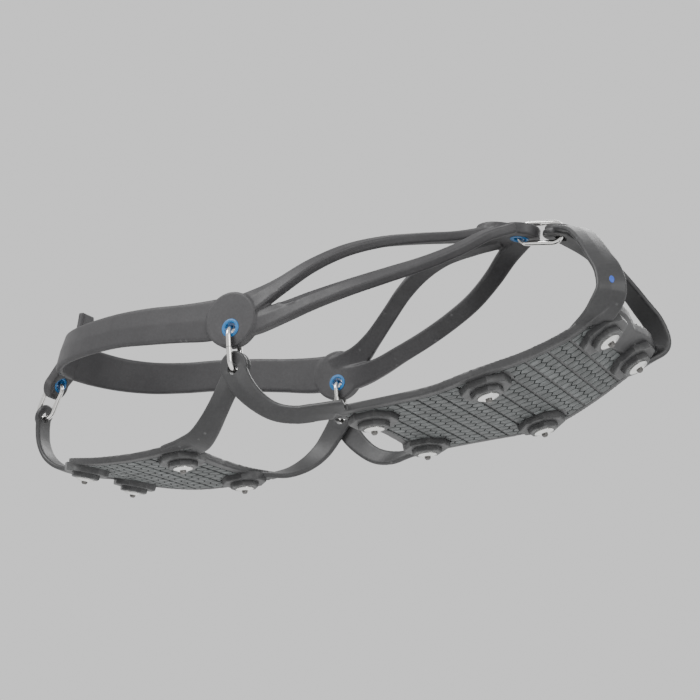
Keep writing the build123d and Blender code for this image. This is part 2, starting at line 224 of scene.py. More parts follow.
def join(name, parts):
    """One mesh holding several closed ones."""
    verts, faces, start = [], [], 0
    for part in parts:
        verts.extend(v.co / MM for v in part.data.vertices)
        faces.extend([start + i for i in p.vertices] for p in part.data.polygons)
        start += len(part.data.vertices)
        bpy.data.objects.remove(part)
    return new_object(name, np.array([tuple(v) for v in verts]), faces)


def boolean(obj, tool, operation):
    modify(obj, "BOOLEAN", object=tool, operation=operation, solver="MANIFOLD")
    bpy.data.objects.remove(tool)


def skin(rings, name="skin"):
    """A closed tube over rings of points, capped at both ends."""
    rings = np.asarray(rings, float)
    count, around = rings.shape[:2]
    faces = [
        [
            i * around + k,
            i * around + (k + 1) % around,
            (i + 1) * around + (k + 1) % around,
            (i + 1) * around + k,
        ]
        for i in range(count - 1)
        for k in range(around)
    ]
    faces.append(list(range(around)))
    faces.append([(count - 1) * around + k for k in range(around)])
    return new_object(name, rings.reshape(-1, 3), faces)


def flow(stations, side=1, step=1.5, lift=(0, 0, 0)):
    """Smooth rows of position, outward normal and width through the stations."""
    rows = np.array(
        [
            [x + SIDE_X + lift[0], side * y + lift[1], z + lift[2], n[0], side * n[1], n[2], w]
            for x, y, z, n, w in stations
        ],
        float,
    )
    chord = np.linalg.norm(np.diff(rows[:, :3], axis=0), axis=1)
    t = np.concatenate([[0], np.cumsum(chord)])
    slope = np.diff(rows, axis=0) / chord[:, None]
    m = np.empty_like(rows)
    m[0], m[-1] = slope[0], slope[-1]
    both_chords = (chord[1:] + chord[:-1])[:, None]
    m[1:-1] = (slope[:-1] * chord[1:, None] + slope[1:] * chord[:-1, None]) / both_chords
    s = np.linspace(0, t[-1], max(2, int(round(t[-1] / step)) + 1))
    i = np.clip(np.searchsorted(t, s, side="right") - 1, 0, len(t) - 2)
    h = chord[i][:, None]
    u = (s - t[i])[:, None] / h
    return (
        (2 * u**3 - 3 * u**2 + 1) * rows[i]
        + (u**3 - 2 * u**2 + u) * h * m[i]
        + (3 * u**2 - 2 * u**3) * rows[i + 1]
        + (u**3 - u**2) * h * m[i + 1]
    )


def frames(rows):
    """Position, along, across and outward directions, and width, at each row."""
    position = rows[:, :3]
    along = unit(np.gradient(position, axis=0))
    outward = rows[:, 3:6] - (rows[:, 3:6] * along).sum(1, keepdims=True) * along
    outward = unit(outward)
    return position, along, np.cross(along, outward), outward, rows[:, 6]


def strap(stations, section, side=1, step=1.5, lift=(0, 0, 0)):
    position, _, across, outward, width = frames(flow(stations, side, step, lift))
    rings = []
    for p, a, o, w in zip(position, across, outward, width):
        outline = section(w)
        rings.append(p + outline[:, :1] * a + outline[:, 1:] * o)
    return skin(rings)


def rounded(thickness, radius, ridge=0.0, ridge_at=0.0, seg=3):
    """Strap section: a rectangle with rounded corners whose outer face may rise to a ridge."""

    def section(width):
        a, b = width / 2, thickness / 2
        r = min(radius, a * 0.9, b * 0.95)
        points = []
        corners = ((a - r, b - r, 0), (r - a, b - r, 90), (r - a, r - b, 180), (a - r, r - b, 270))
        for n, (cx, cy, start) in enumerate(corners):
            for k in range(seg + 1):
                angle = radians(start + 90 * k / seg)
                points.append((cx + r * cos(angle), cy + r * sin(angle)))
            if n == 0:
                points.append((ridge_at * width, b + ridge))
        return np.array(points)

    return section


def basis(normal):
    normal = unit(normal)
    helper = np.array([0, 0, 1.0]) if abs(normal[2]) < 0.9 else np.array([1.0, 0, 0])
    a = unit(np.cross(helper, normal))
    return a, np.cross(normal, a), normal


def lathe(centre, normal, profile, sides=72, name="lathe", phase=0.0):
    """A closed solid of revolution; profile is (radius, height) from axis to axis or a closed ring."""
    a, b, n = basis(normal)
    angles = phase + np.arange(sides) * 2 * pi / sides
    centre = np.asarray(centre, float)
    verts, faces = [], []
    closed = profile[0][0] > 0
    for r, h in profile:
        for angle in angles:
            verts.append(centre + a * r * cos(angle) + b * r * sin(angle) + n * h)
    rows = len(profile)
    for i in range(rows if closed else rows - 1):
        j = (i + 1) % rows
        for k in range(sides):
            l = (k + 1) % sides
            faces.append([i * sides + k, i * sides + l, j * sides + l, j * sides + k])
    mesh = new_object(name, verts, faces)
    bm = bmesh.new()
    bm.from_mesh(mesh.data)
    bmesh.ops.dissolve_degenerate(bm, edges=bm.edges, dist=1e-7)
    bmesh.ops.recalc_face_normals(bm, faces=bm.faces)
    bm.to_mesh(mesh.data)
    bm.free()
    return mesh


def puck(centre, normal, radius, thickness, edge=0.5, crown=0.0, sides=72):
    t = thickness / 2
    profile = [
        (0, t + crown),
        (radius * 0.5, t + crown * 0.8),
        (radius - edge, t),
        (radius - edge * 0.3, t - edge * 0.3),
        (radius, t - edge),
        (radius, edge - t),
        (radius - edge * 0.3, edge * 0.3 - t),
        (radius - edge, -t),
        (0, -t),
    ]
    return lathe(centre, normal, profile, sides)


def rod(centre, normal, radius, length, sides=64):
    t = length / 2
    return lathe(centre, normal, [(0, t), (radius, t), (radius, -t), (0, -t)], sides)


def coords(obj):
    co = np.empty(len(obj.data.vertices) * 3)
    obj.data.vertices.foreach_get("co", co)
    return co.reshape(-1, 3) / MM


def set_coords(obj, co):
    obj.data.vertices.foreach_set("co", (np.asarray(co) * MM).ravel())
    obj.data.update()


def normals(obj):
    n = np.empty(len(obj.data.vertices) * 3)
    obj.data.vertices.foreach_get("normal", n)
    return n.reshape(-1, 3)


def relax(obj, rounds, shrink=0.5, grow=-0.52):
    """Takes the steps out of a voxel mesh without shrinking it."""
    mesh = obj.data
    ends = np.empty(len(mesh.edges) * 2, np.int64)
    mesh.edges.foreach_get("vertices", ends)
    a, b = ends.reshape(-1, 2).T
    count = len(mesh.vertices)
    degree = np.bincount(np.concatenate([a, b]), minlength=count)[:, None]
    co = coords(obj)
    for _ in range(rounds):
        for share in (shrink, grow):
            mean = np.stack(
                [np.bincount(a, co[b, k], count) + np.bincount(b, co[a, k], count) for k in range(3)], 1
            ) / np.maximum(degree, 1)
            co = co + share * (mean - co)
    set_coords(obj, co)


def fuse(name, parts, voxel, rounds):
    made = join(name, parts)
    modify(made, "REMESH", mode="VOXEL", voxel_size=voxel * MM, adaptivity=0)
    relax(made, rounds)
    return made


def near_line(points, line):
    """Distance from each point to a dense polyline, and the index of its nearest vertex."""
    best = np.full(len(points), 1e9)
    which = np.zeros(len(points), int)
    for i in range(0, len(points), 20000):
        d = ((points[i:i + 20000, None] - line[None]) ** 2).sum(2)
        which[i:i + 20000] = d.argmin(1)
        best[i:i + 20000] = np.sqrt(d.min(1))
    return best, which


def score(obj, line, outward, depth, width):
    """Presses a rounded groove along a line into the faces that look along outward.

    A negative depth raises a bead instead.
    """
    co, n = coords(obj), normals(obj)
    low, high = line.min(0) - 3 * width, line.max(0) + 3 * width
    near = np.where(((co > low) & (co < high)).all(1))[0]
    d, which = near_line(co[near], line)
    facing = (n[near] * outward[which]).sum(1) > 0.45
    press = depth * np.exp(-((d / width) ** 2)) * facing
    co[near] -= outward[which] * press[:, None]
    set_coords(obj, co)


def finish_mesh(obj, angle=38):
    obj.data.polygons.foreach_set("use_smooth", [True] * len(obj.data.polygons))
    obj.data.set_sharp_from_angle(angle=radians(angle))
    obj.data.update()


# ---------------------------------------------------------------- materials
def nodes_of(name):
    made = bpy.data.materials.new(name)
    made.use_nodes = True
    tree = made.node_tree
    tree.nodes.clear()
    out = tree.nodes.new("ShaderNodeOutputMaterial")
    shader = tree.nodes.new("ShaderNodeBsdfPrincipled")
    tree.links.new(shader.outputs["BSDF"], out.inputs["Surface"])
    place_node = tree.nodes.new("ShaderNodeTexCoord")
    return made, tree, shader, place_node.outputs["Object"]


def noise(tree, vector, scale, detail=4.0, rough=0.55, distortion=0.0):
    node = tree.nodes.new("ShaderNodeTexNoise")
    node.inputs["Scale"].default_value = scale
    node.inputs["Detail"].default_value = detail
    node.inputs["Roughness"].default_value = rough
    node.inputs["Distortion"].default_value = distortion
    tree.links.new(vector, node.inputs["Vector"])
    return node.outputs["Fac"]


def ramp(tree, fac, stops):
    node = tree.nodes.new("ShaderNodeValToRGB")
    elements = node.color_ramp.elements
    while len(elements) < len(stops):
        elements.new(0.5)
    for element, (position, colour) in zip(elements, stops):
        element.position = position
        element.color = (*colour, 1) if hasattr(colour, "__len__") else (colour, colour, colour, 1)
    tree.links.new(fac, node.inputs["Fac"])
    return node.outputs["Color"]


def mix(tree, fac, a, b, kind="MIX"):
    node = tree.nodes.new("ShaderNodeMix")
    node.data_type = "RGBA"
    node.blend_type = kind
    for value, socket in ((fac, node.inputs[0]), (a, node.inputs[6]), (b, node.inputs[7])):
        if isinstance(value, (int, float)):
            socket.default_value = value
        elif isinstance(value, tuple):
            socket.default_value = (*value, 1)
        else:
            tree.links.new(value, socket)
    return node.outputs[2]


def bump(tree, heights, shader):
    """Chains bumps; heights is a list of (output, strength, distance in mm)."""
    last = None
    for height, strength, distance in heights:
        node = tree.nodes.new("ShaderNodeBump")
        node.inputs["Strength"].default_value = strength
        node.inputs["Distance"].default_value = distance * MM
        tree.links.new(height, node.inputs["Height"])
        if last:
            tree.links.new(last, node.inputs["Normal"])
        last = node.outputs["Normal"]
    tree.links.new(last, shader.inputs["Normal"])


def rubber(name, dark, light, worn, rough, grain=0.25, specular=0.5):
    """Moulded elastomer: mottled charcoal, fine mould grain, edges rubbed paler."""
    made, tree, shader, place_out = nodes_of(name)
    mottled = ramp(tree, noise(tree, place_out, 60, 6, 0.6), ((0.3, dark), (0.7, light)))
    speck = ramp(tree, noise(tree, place_out, 900, 3, 0.7), ((0.35, 0.86), (0.65, 1.1)))
    toned = mix(tree, 1.0, mottled, speck, "MULTIPLY")
    geometry = tree.nodes.new("ShaderNodeNewGeometry")
    edge = ramp(tree, geometry.outputs["Pointiness"], ((0.515, 0.0), (0.60, 1.0)))
    patchy = ramp(tree, noise(tree, place_out, 220, 4, 0.6), ((0.4, 0.15), (0.65, 1.0)))
    rubbed = mix(tree, 1.0, edge, patchy, "MULTIPLY")
    tree.links.new(mix(tree, rubbed, toned, worn), shader.inputs["Base Color"])
    matt = ramp(tree, noise(tree, place_out, 140, 5, 0.6), ((0.25, rough - 0.07), (0.75, rough + 0.08)))
    tree.links.new(matt, shader.inputs["Roughness"])
    shader.inputs["Specular IOR Level"].default_value = specular
    bump(
        tree,
        [
            (noise(tree, place_out, 160, 3, 0.5), 0.25, 0.12),
            (noise(tree, place_out, 2600, 2, 0.5), grain, 0.05),
        ],
        shader,
    )
    return made


def steel(name, tone, rough, streak=1.0, wear=0.5):
    made, tree, shader, place_out = nodes_of(name)
    cloudy = ramp(
        tree,
        noise(tree, place_out, 320, 5, 0.65),
        ((0.3, tuple(t * (1 - 0.25 * wear) for t in tone)), (0.7, tone)),
    )
    tree.links.new(cloudy, shader.inputs["Base Color"])
    shader.inputs["Metallic"].default_value = 1.0
    scuff = ramp(tree, noise(tree, place_out, 700, 6, 0.7), ((0.35, rough * 0.7), (0.75, rough * 1.7)))
    tree.links.new(scuff, shader.inputs["Roughness"])
    bump(tree, [(noise(tree, place_out, 1500, 4, 0.7), 0.12 * streak, 0.03)], shader)
    return made


def plastic(name, tone, rough):
    made, tree, shader, place_out = nodes_of(name)
    base = ramp(
        tree,
        noise(tree, place_out, 400, 4, 0.6),
        ((0.3, tuple(t * 0.75 for t in tone)), (0.7, tone)),
    )
    tree.links.new(base, shader.inputs["Base Color"])
    matt = ramp(tree, noise(tree, place_out, 500, 4, 0.6), ((0.3, rough - 0.05), (0.7, rough + 0.08)))
    tree.links.new(matt, shader.inputs["Roughness"])
    bump(tree, [(noise(tree, place_out, 2400, 2, 0.5), 0.15, 0.03)], shader)
    return made


HARNESS_RUBBER = rubber(
    "harness_rubber", (0.030, 0.029, 0.031), (0.042, 0.041, 0.043), (0.095, 0.094, 0.096), 0.50
)
PLATE_RUBBER = rubber(
    "plate_rubber", (0.022, 0.022, 0.023), (0.033, 0.033, 0.034), (0.085, 0.086, 0.086), 0.46
)
TREAD_RUBBER = rubber(
    "tread_rubber", (0.034, 0.037, 0.037), (0.050, 0.055, 0.054), (0.12, 0.13, 0.13), 0.55, 0.35
)
RING_STEEL = steel("ring_steel", (0.80, 0.79, 0.77), 0.13, 0.6, 0.4)
STUD_METAL = steel("stud_aluminium", (0.82, 0.82, 0.80), 0.24, 1.0, 0.6)
TIP_METAL = steel("tip_carbide", (0.16, 0.155, 0.15), 0.38, 1.5, 0.8)
GROMMET_BLUE = plastic("grommet_blue", (0.012, 0.16, 0.42), 0.35)
MARK_BLUE = plastic("mark_blue", (0.03, 0.10, 0.50), 0.45)


def dress(obj, material):
    obj.data.materials.clear()
    obj.data.materials.append(material)


# ---------------------------------------------------------------- harness
def build_harness():
    parts = []
    band = rounded(BAND, 1.1, 0.35)
    yoke = rounded(YOKE, 0.9, 0.75, -0.06)
    for side in (1, -1):
        parts.append(strap(HEEL_BAND, band, side))
        parts.append(strap(UPPER_ARM, yoke, side))
        parts.append(strap(LOWER_ARM, yoke, side))
        node = place(0, side * SIDE_HARNESS[1], SIDE_HARNESS[2] + SIDE_BOSS_LIFT)
        parts.append(puck(node, (0, 1, 0), SIDE_BOSS_R, BOSS, 0.5))
    parts.append(strap(PULL_TAB, rounded(BAND, 1.1)))
    parts.append(strap(HEEL_TAIL, rounded(BOSS, 1.2, 0.4)))
    parts.append(puck(place(*HEEL_HARNESS) + heel_link * ARM_END_SHIFT, HEEL_OUT, TAIL_BOSS_R, BOSS, 0.6))
    parts.append(puck(place(*TOE_HARNESS), TOE_OUT, FRONT_BOSS_R, BOSS, 0.7, 0.3))
    neck = place(*TOE_HARNESS) - toe_link * FRONT_NECK_BACK
    parts.append(puck(neck, TOE_OUT, FRONT_NECK_R, BOSS, 0.7, 0.3))
    made = fuse("harness", parts, 0.45, 7)

    for side in (1, -1):
        rows = flow(HEEL_BAND, side, 0.4)
        position, along, _, outward, width = frames(rows)
        down = np.array([0, 0, -1.0]) - outward * (outward @ np.array([0, 0, -1.0]))[:, None]
        down = unit(down - along * (down * along).sum(1, keepdims=True))
        keep = (position[:, 0] > -100 + SIDE_X) & (position[:, 0] < -14 + SIDE_X)
        lip = position + down * (width / 2 - 3.1)[:, None]
        score(made, lip[keep], outward[keep], 0.42, 0.5)
        score(made, (lip - down * 1.1)[keep], outward[keep], -0.14, 0.5)
        # bead round the rear end of the slot between the arms
        turn = np.linspace(radians(60), radians(300), 90)
        bead = np.stack([24.5 + 5.2 * np.cos(turn), np.full(90, side * 44.6), 57.5 + 3.8 * np.sin(turn)], 1)
        bead[:, 0] += SIDE_X
        outward_here = np.tile(unit((0, side * 0.93, 0.36)), (90, 1))
        score_near_surface(made, bead, outward_here)
    # finger ribs across the pull tab
    rows = flow(PULL_TAB, 1, 0.3)
    position, along, across, outward, width = frames(rows)
    for z in (79.5, 82.3, 85.1, 87.9):
        i = int(np.abs(position[:, 2] - z).argmin())
        span = np.linspace(-0.5, 0.5, 40)[:, None] * (width[i] - 3.0)
        line = position[i] + outward[i] * BAND / 2 + span * across[i]
        score(made, line, np.tile(outward[i], (40, 1)), 0.5, 0.6)

    bore = GROMMET_R + GROMMET_GAP
    for centre, normal in (
        (place(*TOE_HARNESS), TOE_OUT),
        (place(*HEEL_HARNESS), HEEL_OUT),
        (place(0, SIDE_HARNESS[1], SIDE_HARNESS[2]), (0, 1, 0)),
        (place(0, -SIDE_HARNESS[1], SIDE_HARNESS[2]), (0, 1, 0)),
    ):
        boolean(made, rod(centre, normal, bore, 14), "DIFFERENCE")
    modify(made, "DECIMATE", ratio=0.72)
    finish_mesh(made)
    dress(made, HARNESS_RUBBER)
    return made


def score_near_surface(obj, line, outward):
    """A fine bead laid on the surface nearest the line."""
    co, n = coords(obj), normals(obj)
    side = np.sign(line[0, 1])
    level = (np.abs(co[:, 0] - line[:, 0].mean()) < 12) & (np.abs(co[:, 2] - line[:, 2].mean()) < 10)
    near = np.where(level & (co[:, 1] * side > 30))[0]
    flat = line[:, [0, 2]]
    d = np.sqrt(((co[near][:, None, [0, 2]] - flat[None]) ** 2).sum(2)).min(1)
    facing = (n[near] @ outward[0]) > 0.6
    co[near] += outward[0] * (0.3 * np.exp(-((d / 0.5) ** 2)) * facing)[:, None]
    set_coords(obj, co)


# ---------------------------------------------------------------- sole plates
def spline(points, count=40):
    """Smooth line through plan points (x, y)."""
    rows = flow([(x, y, 0, (0, 0, 1), 1) for x, y in points], 1, 0.5)
    rows[:, 0] -= SIDE_X
    pick = np.linspace(0, len(rows) - 1, count).round().astype(int)
    return rows[pick, :2]


def outline(runs):
    """Closed plan outline from runs on the left side, mirrored."""
    half = np.concatenate([spline(run)[:-1] for run in runs] + [np.array(runs[-1][-1:], float)])
    mirrored = half[::-1][1:-1] * (1, -1)
    return np.concatenate([half, mirrored])


FOREFOOT_OUTLINE = outline(
    (
        ((41, 0), (39.5, 22), (36, 41.5)),
        ((36, 41.5), (55, 41), (76, 41.5), (98, 45), (119, 39), (134, 35.2), (148, 34.5)),
        ((148, 34.5), (150, 17), (148.5, 0)),
    )
)
HEEL_OUTLINE = outline(
    (
        ((-35, 0), (-33.5, 20), (-29, 36.5)),
        ((-29, 36.5), (-48, 36), (-75, 33.5), (-95, 26), (-106, 13), (-108.5, 0)),
    )
)


def wrap(points, rocker):
    """(arc length, y, depth into the plate) to the part's frame, over a plate's rocker."""
    start, radius = rocker
    sign = 1 if start > 0 else -1
    u, y, depth = points[:, 0], points[:, 1], points[:, 2]
    angle = np.maximum(sign * (u - start), 0) / radius
    bent = angle > 0
    x = np.where(bent, start + sign * (radius - depth) * np.sin(angle), u)
    z = np.where(bent, TIP_REACH + radius - (radius - depth) * np.cos(angle), TIP_REACH + depth)
    return np.stack([x + SIDE_X, y, z], 1)


def unroll(plan, rocker):
    """Plan x to arc length along the under-surface."""
    start, radius = rocker
    sign = 1 if start > 0 else -1
    ahead = np.maximum(sign * (plan[:, 0] - start), 0) / radius
    u = np.where(ahead > 0, start + sign * radius * np.arcsin(np.minimum(ahead, 1)), plan[:, 0])
    return np.stack([u, plan[:, 1]], 1)


def prism(polygon, low, high, name="prism"):
    count = len(polygon)
    verts = [(x, y, low) for x, y in polygon] + [(x, y, high) for x, y in polygon]
    faces = [list(range(count)), list(range(count, 2 * count))]
    faces += [[i, (i + 1) % count, count + (i + 1) % count, count + i] for i in range(count)]
    return new_object(name, verts, faces)


def slab(low_x, high_x, rocker):
    """The rocker's side view as a block wider than the plate."""
    us = np.linspace(low_x, high_x, 90)
    rings = []
    for u in us:
        corners = np.array([(u, -60, 0), (u, 60, 0), (u, 60, PLATE), (u, -60, PLATE)], float)
        rings.append(wrap(corners, rocker))
    return skin(rings, "slab")


def inset(polygon, distance):
    """The polygon moved inwards, for smooth outlines."""
    before, after = np.roll(polygon, 1, 0), np.roll(polygon, -1, 0)
    tangent = unit(after - before)
    area = (polygon[:, 0] * after[:, 1] - after[:, 0] * polygon[:, 1]).sum()
    inward = np.stack([-tangent[:, 1], tangent[:, 0]], 1) * np.sign(area)
    distance = np.broadcast_to(distance, len(polygon))
    return polygon + inward * distance[:, None]


def edge_distance(points, polygon):
    """Distance of plan points to a closed outline, positive inside."""
    a, b = polygon, np.roll(polygon, -1, 0)
    best = np.full(len(points), 1e9)
    inside = np.zeros(len(points), bool)
    for (ax, ay), (bx, by) in zip(a, b):
        dx, dy = bx - ax, by - ay
        t = np.clip(((points[:, 0] - ax) * dx + (points[:, 1] - ay) * dy) / (dx * dx + dy * dy), 0, 1)
        best = np.minimum(best, np.hypot(points[:, 0] - ax - t * dx, points[:, 1] - ay - t * dy))
        if ay != by:
            crosses = (points[:, 1] < ay) != (points[:, 1] < by)
            inside ^= crosses & (points[:, 0] < ax + (points[:, 1] - ay) * dx / dy)
    return np.where(inside, best, -best)


def stud_axis(x, y, rocker):
    """Point on the under-surface and the direction out of the sole at a stud."""
    start, radius = rocker
    sign = 1 if start > 0 else -1
    ahead = sign * (x - start)
    angle = sign * asin(ahead / (radius + TIP_REACH)) if ahead > 0 else 0.0
    down = np.array([sin(angle), 0, -cos(angle)])
    if ahead > 0:
        return place(start, y, TIP_REACH + radius) + down * radius, down
    return place(x, y, TIP_REACH), down


def octagon(centre, down, tiers):
    """Stepped octagonal boss with eased edges; tiers are (half across flats, from, to)."""
    profile = [(0, -1.0)]
    for half, low, high in tiers:
        r = half / cos(pi / 8)
        foot, head = r, r - (high - low) * 0.105
        profile += [(foot, low), (head + 0.03, high - 0.35), (head - 0.3, high)]
    profile.append((0, tiers[-1][2]))
    forward = np.array([-down[2], 0, down[0]])
    across = np.cross(down, forward)
    verts, faces, sides = [], [], 8
    for r, h in profile:
        for k in range(sides):
            angle = pi / 8 + k * pi / 4
            verts.append(centre + forward * r * cos(angle) + across * r * sin(angle) + down * h)
    for i in range(len(profile) - 1):
        for k in range(sides):
            l = (k + 1) % sides
            faces.append([i * sides + k, i * sides + l, (i + 1) * sides + l, (i + 1) * sides + k])
    made = new_object("boss", verts, faces)
    bm = bmesh.new()
    bm.from_mesh(made.data)
    bmesh.ops.dissolve_degenerate(bm, edges=bm.edges, dist=1e-7)
    bmesh.ops.recalc_face_normals(bm, faces=bm.faces)
    bm.to_mesh(made.data)
    bm.free()
    return made


def build_plate(name, plan, rocker, slab_range, arms, studs, field_in, eyelets):
    body = slab(*slab_range, rocker)
    shape = plan + np.array([SIDE_X, 0])
    boolean(body, prism(shape, 0, 90), "INTERSECT")
    made = fuse(name, [body, *arms], 0.45, 6)
    # the tread field lies a little below the rim
    co, n = coords(made), normals(made)
    start, radius = rocker
    sign = 1 if start > 0 else -1
    ahead = np.maximum(sign * (co[:, 0] - SIDE_X - start), 0)
    angle = np.arcsin(np.minimum(ahead / radius, 0.99)) * sign
    down = np.stack([np.sin(angle), np.zeros(len(co)), -np.cos(angle)], 1)
    radial = np.hypot(ahead, np.where(ahead > 0, TIP_REACH + radius - co[:, 2], 0))
    depth = np.where(ahead > 0, radius - radial, co[:, 2] - TIP_REACH)
    under = np.where(((n * down).sum(1) > 0.5) & (np.abs(depth) < 1.0))[0]
    d = edge_distance(co[under][:, :2] - (SIDE_X, 0), field_in)
    step = np.clip((d + 0.35) / 0.7, 0, 1)
    co[under] -= down[under] * (0.4 * step * step * (3 - 2 * step))[:, None]
    ridge = 0.16 * np.exp(-(((d + 0.9) / 0.55) ** 2))
    co[under] += down[under] * ridge[:, None]
    set_coords(made, co)
    modify(made, "DECIMATE", ratio=0.5)
    for x, y in studs:
        for side in (1, -1):
            centre, out = stud_axis(x, side * y, rocker)
            boolean(made, octagon(centre, out, BOSS_TIERS), "UNION")
    for x, y in studs:
        for side in (1, -1):
            centre, out = stud_axis(x, side * y, rocker)
            boolean(made, rod(centre, out, SHANK_BORE_R, 20, 48), "DIFFERENCE")
            boolean(made, rod(centre - out * (PLATE + 1.95), out, FLANGE_BORE_R, 6, 64), "DIFFERENCE")
    for centre, normal in eyelets:
        boolean(made, rod(centre, normal, EYELET_R, 14), "DIFFERENCE")
    finish_mesh(made, 30)
    dress(made, PLATE_RUBBER)
    return made


PAD_COLUMN = 4.4         # honeycomb pitch along the foot
PAD_ROW = 5.2            # and across it
PAD_R = 2.62
PAD_RISE = 0.5


def build_tread(name, field, rocker, studs, first_line):
    """Honeycomb of low pads with straight flex lines, cut to the field and clear of the bosses."""
    flat = unroll(field, rocker)
    low, high = flat.min(0), flat.max(0)
    verts, faces = [], []
    columns = range(int((low[0] - first_line) / PAD_COLUMN) - 2, int((high[0] - first_line) / PAD_COLUMN) + 3)
    for c in columns:
        u = first_line + (c + 0.5) * PAD_COLUMN
        for r in range(-12, 13):
            y = (r + 0.5 * (c % 2)) * PAD_ROW
            if not (low[1] - 3 < y < high[1] + 3):
                continue
            base = len(verts)
            for depth in (0.9, 0.4 - PAD_RISE):
                for k in range(6):
                    angle = k * pi / 3
                    verts.append((u + PAD_R * cos(angle), y + PAD_R * sin(angle), depth))
            faces += [[base + k for k in range(6)], [base + 6 + k for k in range(6)]]
            faces += [[base + k, base + (k + 1) % 6, base + 6 + (k + 1) % 6, base + 6 + k] for k in range(6)]
    made = new_object(name, verts, faces)
    boolean(made, prism(flat, -5, 5), "INTERSECT")
    for x, y in studs:
        centre_u = unroll(np.array([(x, y)], float), rocker)[0, 0]
        for side in (1, -1):
            ring = [
                (
                    centre_u + TREAD_BOSS_GAP_R * cos(pi / 8 + k * pi / 4),
                    side * y + TREAD_BOSS_GAP_R * sin(pi / 8 + k * pi / 4),
                )
                for k in range(8)
            ]
            boolean(made, prism(np.array(ring), -5, 5), "DIFFERENCE")
    lines = np.arange(first_line - 30 * 2 * PAD_COLUMN, first_line + 30 * 2 * PAD_COLUMN, 2 * PAD_COLUMN)
    for u in lines[(lines > low[0]) & (lines < high[0])]:
        cut = np.array([(u - 0.55, -60), (u + 0.55, -60), (u + 0.55, 60), (u - 0.55, 60)])
        boolean(made, prism(cut, -5, 5), "DIFFERENCE")
    modify(made, "BEVEL", width=0.13 * MM, segments=2, limit_method="ANGLE", angle_limit=radians(35))
    set_coords(made, wrap(coords(made), rocker))
    finish_mesh(made, 50)
    dress(made, TREAD_RUBBER)
    return made


def field_of(plan, rim, extra_front):
    """The tread field: the outline less its rim, with more left plain at the arm end."""
    reach = np.clip(extra_front(plan), 0, None)
    return inset(plan, rim + reach)


def build_plates():
    fore_field = field_of(FOREFOOT_OUTLINE, 3.6, lambda p: 6.0 * np.clip((p[:, 0] - 138) / 8, 0, 1))
    heel_field = field_of(HEEL_OUTLINE, 3.4, lambda p: 3.5 * np.clip((-92 - p[:, 0]) / 10, 0, 1))
    arm = rounded(ARM, 0.8, 0.35)
    fore_arms = []
    for side in (1, -1):
        fore_arms.append(strap(REAR_ARM, arm, side))
        end = place(0, side * (SIDE_ARMS[1] + LAYER), SIDE_ARMS[2] + ARM_END_SHIFT)
        fore_arms.append(puck(end, (0, 1, 0), ARM_END_R, ARM, 0.45))
        lift = TOE_OUT * (-side * LAYER)
        fore_arms.append(strap(TOE_ARM, arm, side, lift=lift))
        end = place(*TOE_ARMS) + lift + unit((-0.75, -side * 0.65, 0.18)) * ARM_END_SHIFT
        fore_arms.append(puck(end, TOE_OUT, ARM_END_R, ARM, 0.45))
    heel_end = place(*HEEL_ARM) - heel_link * HEEL_END_SHIFT
    heel_arms = [strap(HEEL_REAR_ARM, arm), puck(heel_end, HEEL_OUT, HEEL_END_R, ARM, 0.45)]
    for side in (1, -1):
        heel_arms.append(strap(FRONT_ARM, arm, side))
        end = place(0, side * (SIDE_ARMS[1] - LAYER), SIDE_ARMS[2] + ARM_END_SHIFT)
        heel_arms.append(puck(end, (0, 1, 0), ARM_END_R, ARM, 0.45))
    sides = [(place(0, s * SIDE_ARMS[1], SIDE_ARMS[2]), (0, 1, 0)) for s in (1, -1)]
    fore = build_plate(
        "forefoot_plate_body", FOREFOOT_OUTLINE, TOE_ROCKER, (30, 166), fore_arms, FOREFOOT_STUDS, fore_field,
        [(place(*TOE_ARMS), TOE_OUT), *sides],
    )
    heel = build_plate(
        "heel_plate_body", HEEL_OUTLINE, HEEL_ROCKER, (-25, -118), heel_arms, HEEL_STUDS, heel_field,
        [(place(*HEEL_ARM), HEEL_OUT), *sides],
    )
    fore_tread = build_tread("forefoot_tread", fore_field, TOE_ROCKER, FOREFOOT_STUDS, 107.0)
    heel_tread = build_tread("heel_tread", heel_field, HEEL_ROCKER, HEEL_STUDS, -60.0)
    return fore, heel, fore_tread, heel_tread


# ---------------------------------------------------------------- eyelet bushes and mark
def build_grommet(name, centre, normal):
    t = BOSS / 2
    profile = [
        (EYELET_R + 0.25, t + 0.42),
        (EYELET_R + 0.75, t + 0.5),
        (GROMMET_R + 0.25, t + 0.38),
        (GROMMET_R + 0.45, t + 0.1),
        (GROMMET_R + 0.4, t - 0.2),
        (GROMMET_R, t - 0.25),
        (GROMMET_R, 0.25 - t),
        (GROMMET_R + 0.4, 0.2 - t),
        (GROMMET_R + 0.4, -t - 0.2),
        (EYELET_R + 0.4, -t - 0.3),
        (EYELET_R, -t),
        (EYELET_R, t + 0.1),
    ]
    made = lathe(centre, normal, profile, 64, name)
    finish_mesh(made, 35)
    dress(made, GROMMET_BLUE)
    return made


